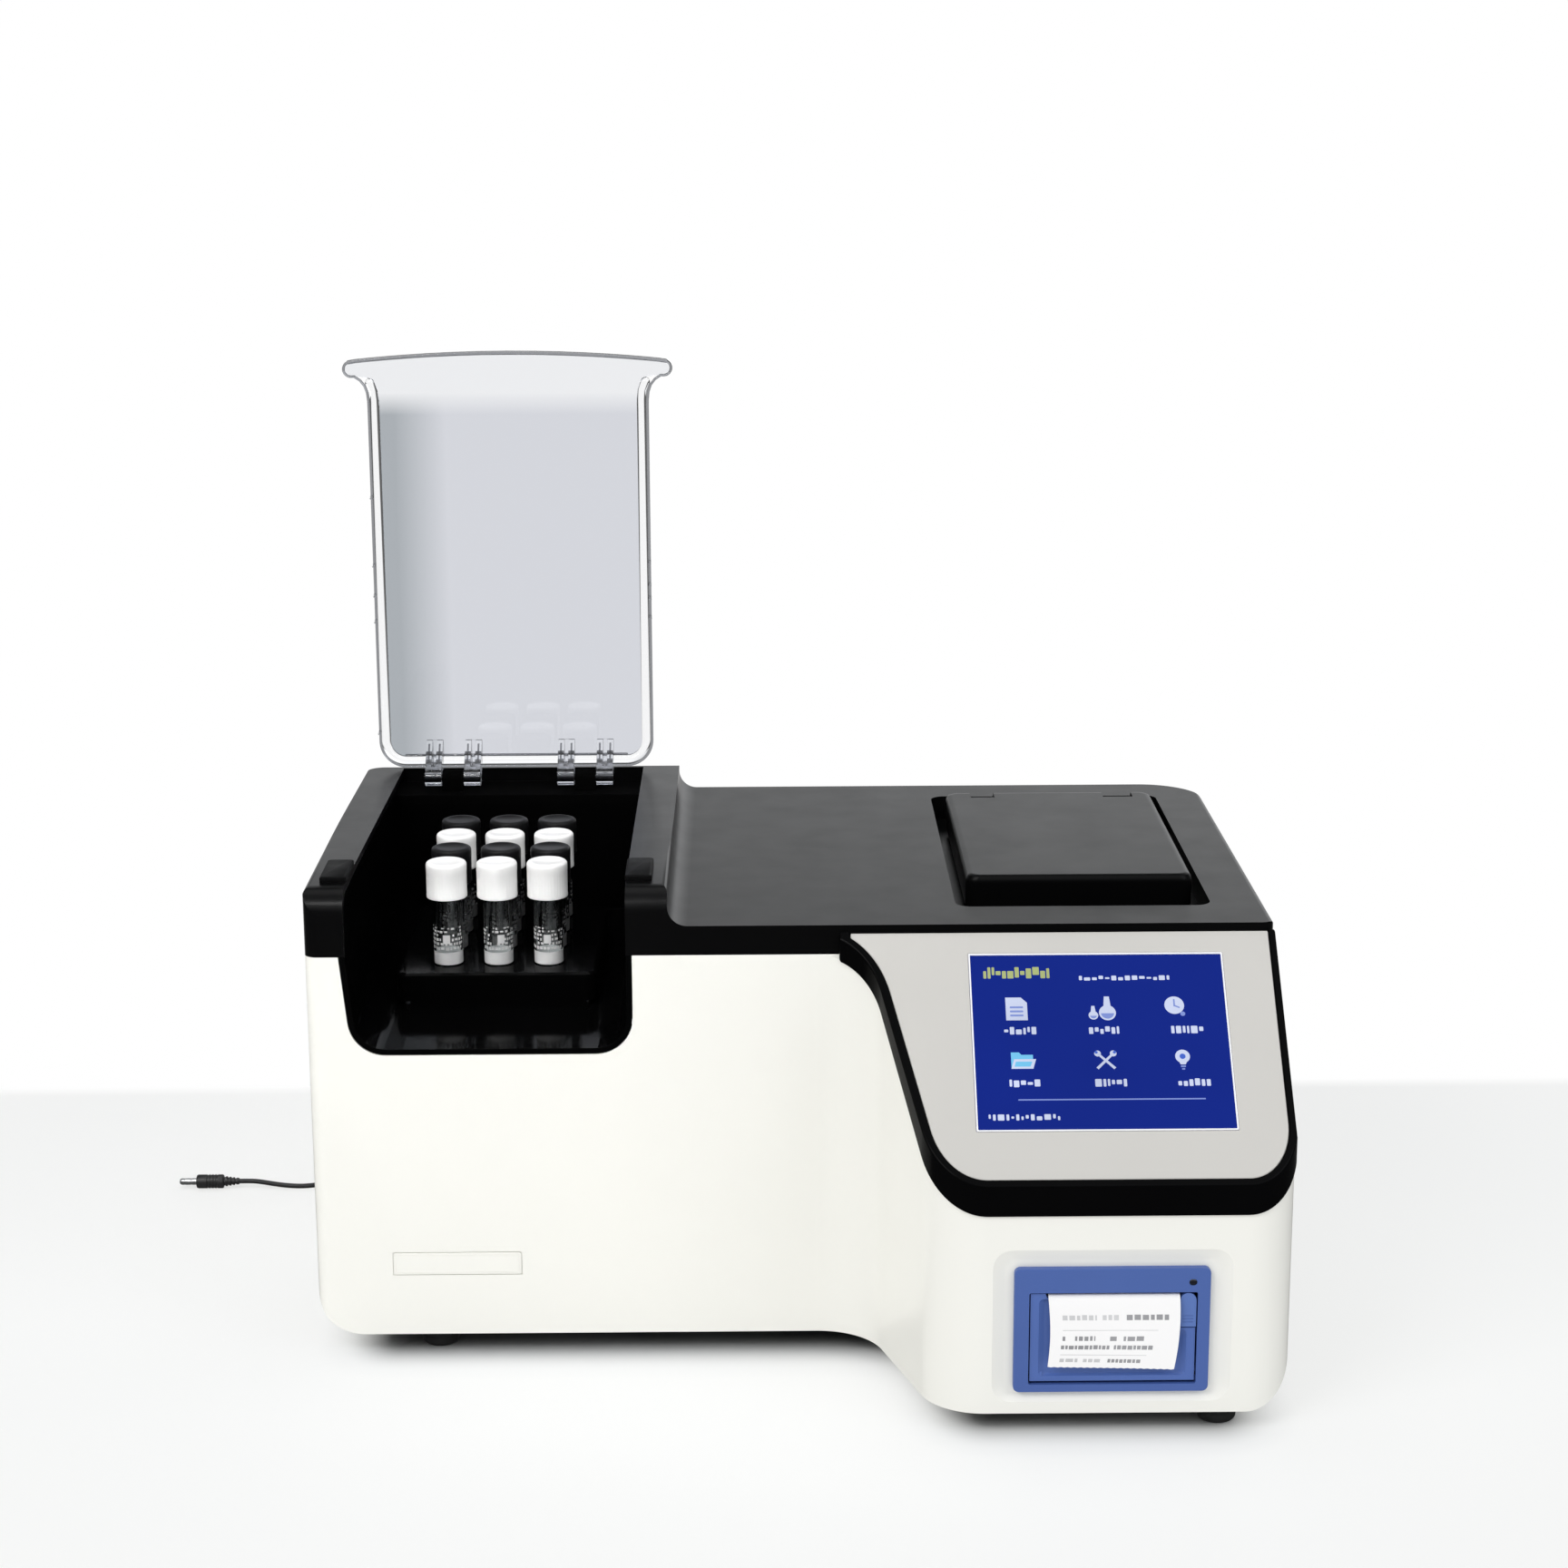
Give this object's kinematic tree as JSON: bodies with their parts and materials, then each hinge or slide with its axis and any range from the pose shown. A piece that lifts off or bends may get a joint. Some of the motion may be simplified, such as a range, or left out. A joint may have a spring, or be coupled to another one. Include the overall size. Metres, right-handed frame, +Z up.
{
  "type": "bench spectrophotometer",
  "caption": "Bench water-quality spectrophotometer with a heated vial well under a clear hinged lid, a covered measuring compartment, a sloped touch console and a strip printer.",
  "frame": {"origin": "on the table, under the middle of the object's box", "axes": "+Z up, +X to the right as seen from the front, the front faces -Y"},
  "size_m": [0.531, 0.3912, 0.4298],
  "materials": {
    "body_shell": "satin moulded plastic",
    "base_plate": "zinc-plated sheet",
    "rubber_feet": "matt rubber",
    "case_screws": "bright steel",
    "name_plate": "blank plate",
    "top_cover": "satin moulded plastic",
    "hinge_knuckles": "moulded plastic",
    "hinge_pins": "ground steel",
    "lid_rest_pads": "matt rubber",
    "well_liner": "glossy moulded plastic",
    "block_cover": "heat-resistant plastic",
    "heating_block": "milled",
    "heater_plate": "silicone heater mat",
    "block_jacket": "felted insulation",
    "temperature_probe": "steel sheath",
    "vial": "clear glass with a screw cap",
    "clear_lid": "clear acrylic",
    "cuvette_lid": "satin moulded plastic",
    "lid_seal": "foam rubber",
    "cuvette_holder": "black anodised",
    "light_source": "die-cast",
    "filter_wheel": "black anodised",
    "filter_motor": "plated can",
    "detector_board": "circuit board",
    "console_frame": "glossy moulded plastic",
    "console_panel": "fine matt lacquer",
    "touch_screen": "lit display behind glass",
    "main_board": "circuit board",
    "printer_bezel": "moulded plastic",
    "status_led": "lamp window",
    "printer_door": "moulded plastic",
    "platen_roller": "rubber on a steel shaft",
    "print_head": "print head on its bracket",
    "paper_roll": "thermal paper",
    "roll_spindle": "moulded plastic",
    "paper_strip": "thermal paper",
    "release_button": "moulded plastic",
    "mains_inlet": "moulded plastic",
    "inlet_pins": "plated pins",
    "power_switch": "moulded plastic",
    "fan_frame": "moulded plastic",
    "fan_rotor": "moulded plastic",
    "power_supply": "sheet frame with parts",
    "side_socket": "moulded plastic",
    "lead_plug": "moulded plug",
    "lead_run": "lead sheath",
    "lead_coil": "lead sheath",
    "lead_tail": "lead sheath",
    "lead_end_plug": "moulded plug"
  },
  "bodies": {
    "base": {"body_shell": "body_shell", "base_plate": "base_plate", "rubber_feet": "rubber_feet", "case_screws": "case_screws", "name_plate": "name_plate", "top_cover": "top_cover", "hinge_knuckles": "hinge_knuckles", "hinge_pins": "hinge_pins", "lid_rest_pads": "lid_rest_pads", "well_liner": "well_liner", "block_cover": "block_cover", "heating_block": "heating_block", "heater_plate": "heater_plate", "block_jacket": "block_jacket", "temperature_probe": "temperature_probe", "cuvette_holder": "cuvette_holder", "light_source": "light_source", "filter_motor": "filter_motor", "detector_board": "detector_board", "console_frame": "console_frame", "console_panel": "console_panel", "touch_screen": "touch_screen", "main_board": "main_board", "printer_bezel": "printer_bezel", "status_led": "status_led", "print_head": "print_head", "roll_spindle": "roll_spindle", "mains_inlet": "mains_inlet", "inlet_pins": "inlet_pins", "fan_frame": "fan_frame", "power_supply": "power_supply", "side_socket": "side_socket", "lead_plug": "lead_plug", "lead_run": "lead_run", "lead_coil": "lead_coil", "lead_tail": "lead_tail", "lead_end_plug": "lead_end_plug"},
    "clear_lid": {"clear_lid": "clear_lid"},
    "cuvette_lid": {"cuvette_lid": "cuvette_lid", "lid_seal": "lid_seal"},
    "printer_door": {"printer_door": "printer_door", "paper_strip": "paper_strip"},
    "platen_roller": {"platen_roller": "platen_roller"},
    "paper_roll": {"paper_roll": "paper_roll"},
    "release_button": {"release_button": "release_button"},
    "power_switch": {"power_switch": "power_switch"},
    "fan_rotor": {"fan_rotor": "fan_rotor"},
    "filter_wheel": {"filter_wheel": "filter_wheel"},
    "vial_a1": {"vial_a1": "vial"},
    "vial_a2": {"vial_a2": "vial"},
    "vial_a3": {"vial_a3": "vial"},
    "vial_b1": {"vial_b1": "vial"},
    "vial_b2": {"vial_b2": "vial"},
    "vial_b3": {"vial_b3": "vial"},
    "vial_c1": {"vial_c1": "vial"},
    "vial_c2": {"vial_c2": "vial"},
    "vial_c3": {"vial_c3": "vial"},
    "vial_d1": {"vial_d1": "vial"},
    "vial_d2": {"vial_d2": "vial"},
    "vial_d3": {"vial_d3": "vial"}
  },
  "joints": [
    {"name": "clear_lid_hinge", "type": "hinge", "parent": "base", "child": "clear_lid", "pos_m": [-0.1348, 0.154, 0.213], "axis": [-1, 0, 0], "range_deg": [-90, 0]},
    {"name": "cuvette_lid_hinge", "type": "hinge", "parent": "base", "child": "cuvette_lid", "pos_m": [0.134, 0.13, 0.203], "axis": [-1, 0, 0], "range_deg": [0, 95]},
    {"name": "printer_door_hinge", "type": "hinge", "parent": "base", "child": "printer_door", "pos_m": [0.137, -0.1675, 0.027], "axis": [1, 0, 0], "range_deg": [0, 80]},
    {"name": "release_press", "type": "slide", "parent": "printer_door", "child": "release_button", "axis": [0, 1, 0], "range_m": [0, 0.001], "stiffness_N_per_m": 400},
    {"name": "paper_roll_spin", "type": "hinge", "parent": "base", "child": "paper_roll", "pos_m": [0.137, -0.139, 0.041], "axis": [1, 0, 0], "continuous": true},
    {"name": "platen_spin", "type": "hinge", "parent": "printer_door", "child": "platen_roller", "pos_m": [0.137, -0.162, 0.058], "axis": [1, 0, 0], "continuous": true},
    {"name": "power_rocker", "type": "hinge", "parent": "base", "child": "power_switch", "pos_m": [0.1525, 0.164, 0.06], "axis": [-1, 0, 0], "range_deg": [0, 14]},
    {"name": "fan_spin", "type": "hinge", "parent": "base", "child": "fan_rotor", "pos_m": [-0.1, 0.163, 0.075], "axis": [0, 1, 0], "continuous": true},
    {"name": "filter_wheel_spin", "type": "hinge", "parent": "base", "child": "filter_wheel", "pos_m": [0.0975, 0.044, 0.158], "axis": [1, 0, 0], "continuous": true},
    {"name": "vial_a1_lift", "type": "slide", "parent": "base", "child": "vial_a1", "axis": [0, 0, 1], "range_m": [0, 0.105]},
    {"name": "vial_a2_lift", "type": "slide", "parent": "base", "child": "vial_a2", "axis": [0, 0, 1], "range_m": [0, 0.105]},
    {"name": "vial_a3_lift", "type": "slide", "parent": "base", "child": "vial_a3", "axis": [0, 0, 1], "range_m": [0, 0.105]},
    {"name": "vial_b1_lift", "type": "slide", "parent": "base", "child": "vial_b1", "axis": [0, 0, 1], "range_m": [0, 0.105]},
    {"name": "vial_b2_lift", "type": "slide", "parent": "base", "child": "vial_b2", "axis": [0, 0, 1], "range_m": [0, 0.105]},
    {"name": "vial_b3_lift", "type": "slide", "parent": "base", "child": "vial_b3", "axis": [0, 0, 1], "range_m": [0, 0.105]},
    {"name": "vial_c1_lift", "type": "slide", "parent": "base", "child": "vial_c1", "axis": [0, 0, 1], "range_m": [0, 0.105]},
    {"name": "vial_c2_lift", "type": "slide", "parent": "base", "child": "vial_c2", "axis": [0, 0, 1], "range_m": [0, 0.105]},
    {"name": "vial_c3_lift", "type": "slide", "parent": "base", "child": "vial_c3", "axis": [0, 0, 1], "range_m": [0, 0.105]},
    {"name": "vial_d1_lift", "type": "slide", "parent": "base", "child": "vial_d1", "axis": [0, 0, 1], "range_m": [0, 0.105]},
    {"name": "vial_d2_lift", "type": "slide", "parent": "base", "child": "vial_d2", "axis": [0, 0, 1], "range_m": [0, 0.105]},
    {"name": "vial_d3_lift", "type": "slide", "parent": "base", "child": "vial_d3", "axis": [0, 0, 1], "range_m": [0, 0.105]}
  ],
  "couplings": [
    {"joint": "platen_spin", "follows": "paper_roll_spin", "ratio": 3.8372}
  ]
}
